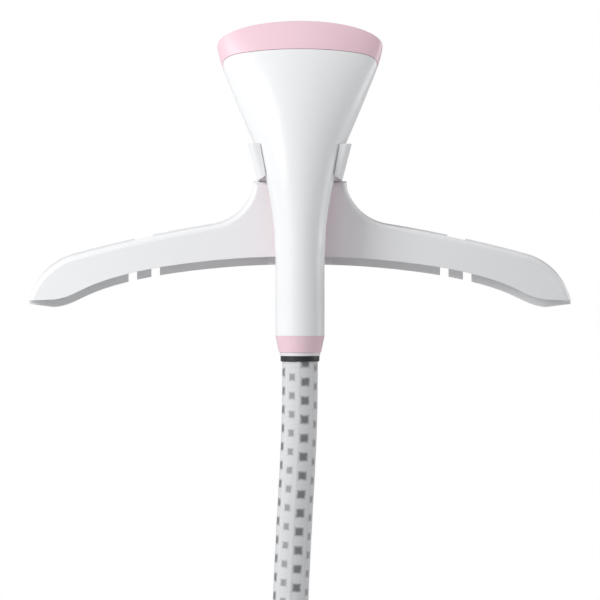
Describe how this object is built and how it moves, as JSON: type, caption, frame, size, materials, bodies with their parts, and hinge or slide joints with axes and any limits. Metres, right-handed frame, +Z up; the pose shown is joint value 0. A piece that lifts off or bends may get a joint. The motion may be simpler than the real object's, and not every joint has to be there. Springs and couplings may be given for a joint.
{
  "type": "garment steamer head in hanger bracket",
  "caption": "Tilted steam head on a round handle, resting in the cradle of a clothes-hanger bracket for a pole, with its sleeved hose looped and tied.",
  "frame": {"origin": "on the pole socket's axis, level with the middle of the hanger's arms", "axes": "+Z up, +X along the right arm, +Y from the steam head's rear cover towards the hanger's back plate; the pole leaves the socket along -Z"},
  "size_m": [0.5043, 0.106, 0.7848],
  "materials": {
    "shell_pink": "satin moulded plastic, pale pink",
    "collar_pink": "satin moulded plastic, dusty pink",
    "shell_white": "satin to gloss moulded plastic, white",
    "soleplate_grey": "satin grey coating on a thin metal plate",
    "silicone_seal": "matte silicone",
    "silicone_pipe": "translucent silicone",
    "chamber_plastic": "heat-resistant moulded plastic",
    "insulator_foam": "foamed plastic",
    "screw_steel": "plated steel",
    "barb_brass": "turned brass",
    "ferrule_white": "satin moulded plastic",
    "ring_dark": "matte moulded rubber",
    "hose_sleeve": "braided sleeve, pale grey with rows of dark marks",
    "tie_dark": "matte strap",
    "connector_dark": "textured moulded plastic",
    "connector_grey": "satin moulded plastic",
    "hanger_white": "satin moulded plastic, white",
    "hanger_grey": "satin moulded plastic, light grey",
    "bush_grey": "satin moulded plastic",
    "pad_rubber": "matte soft rubber"
  },
  "bodies": {
    "hanger": {"hanger_front": "hanger_white", "hanger_back": "hanger_grey", "cradle": "hanger_white", "cradle_pad_left": "pad_rubber", "cradle_pad_right": "pad_rubber", "pole_socket": "hanger_white", "pole_bush": "bush_grey", "hanger_screws": "screw_steel", "socket_screws": "screw_steel", "cradle_screws": "screw_steel"},
    "handset": {"front_shell": "shell_pink", "rear_cover": "shell_white", "screw_cap_left": "shell_pink", "screw_cap_right": "shell_pink", "brush_catch": "shell_pink", "shell_screws": "screw_steel", "soleplate": "soleplate_grey", "soleplate_seal": "silicone_seal", "steam_chamber": "chamber_plastic", "chamber_baffle": "chamber_plastic", "chamber_screws": "screw_steel", "steam_pipe": "silicone_pipe", "pipe_clamps": "screw_steel", "handle_insulator": "insulator_foam", "hose_barb": "barb_brass", "end_collar": "collar_pink", "hose_ferrule": "ferrule_white", "hose_ring": "ring_dark", "hose_tube": "hose_sleeve", "hose_tie": "tie_dark", "connector_cuff": "connector_dark", "connector_body": "connector_grey", "connector_seals": "silicone_seal"},
    "coupling_nut": {"coupling_nut": "connector_dark"}
  },
  "joints": [
    {"name": "handset_lift", "type": "slide", "parent": "hanger", "child": "handset", "axis": [0, 0, 1], "range_m": [0, 0.12]},
    {"name": "nut_spin", "type": "hinge", "parent": "handset", "child": "coupling_nut", "pos_m": [-0.01, -0.07, -0.533], "axis": [0, 0, 1], "continuous": true}
  ]
}
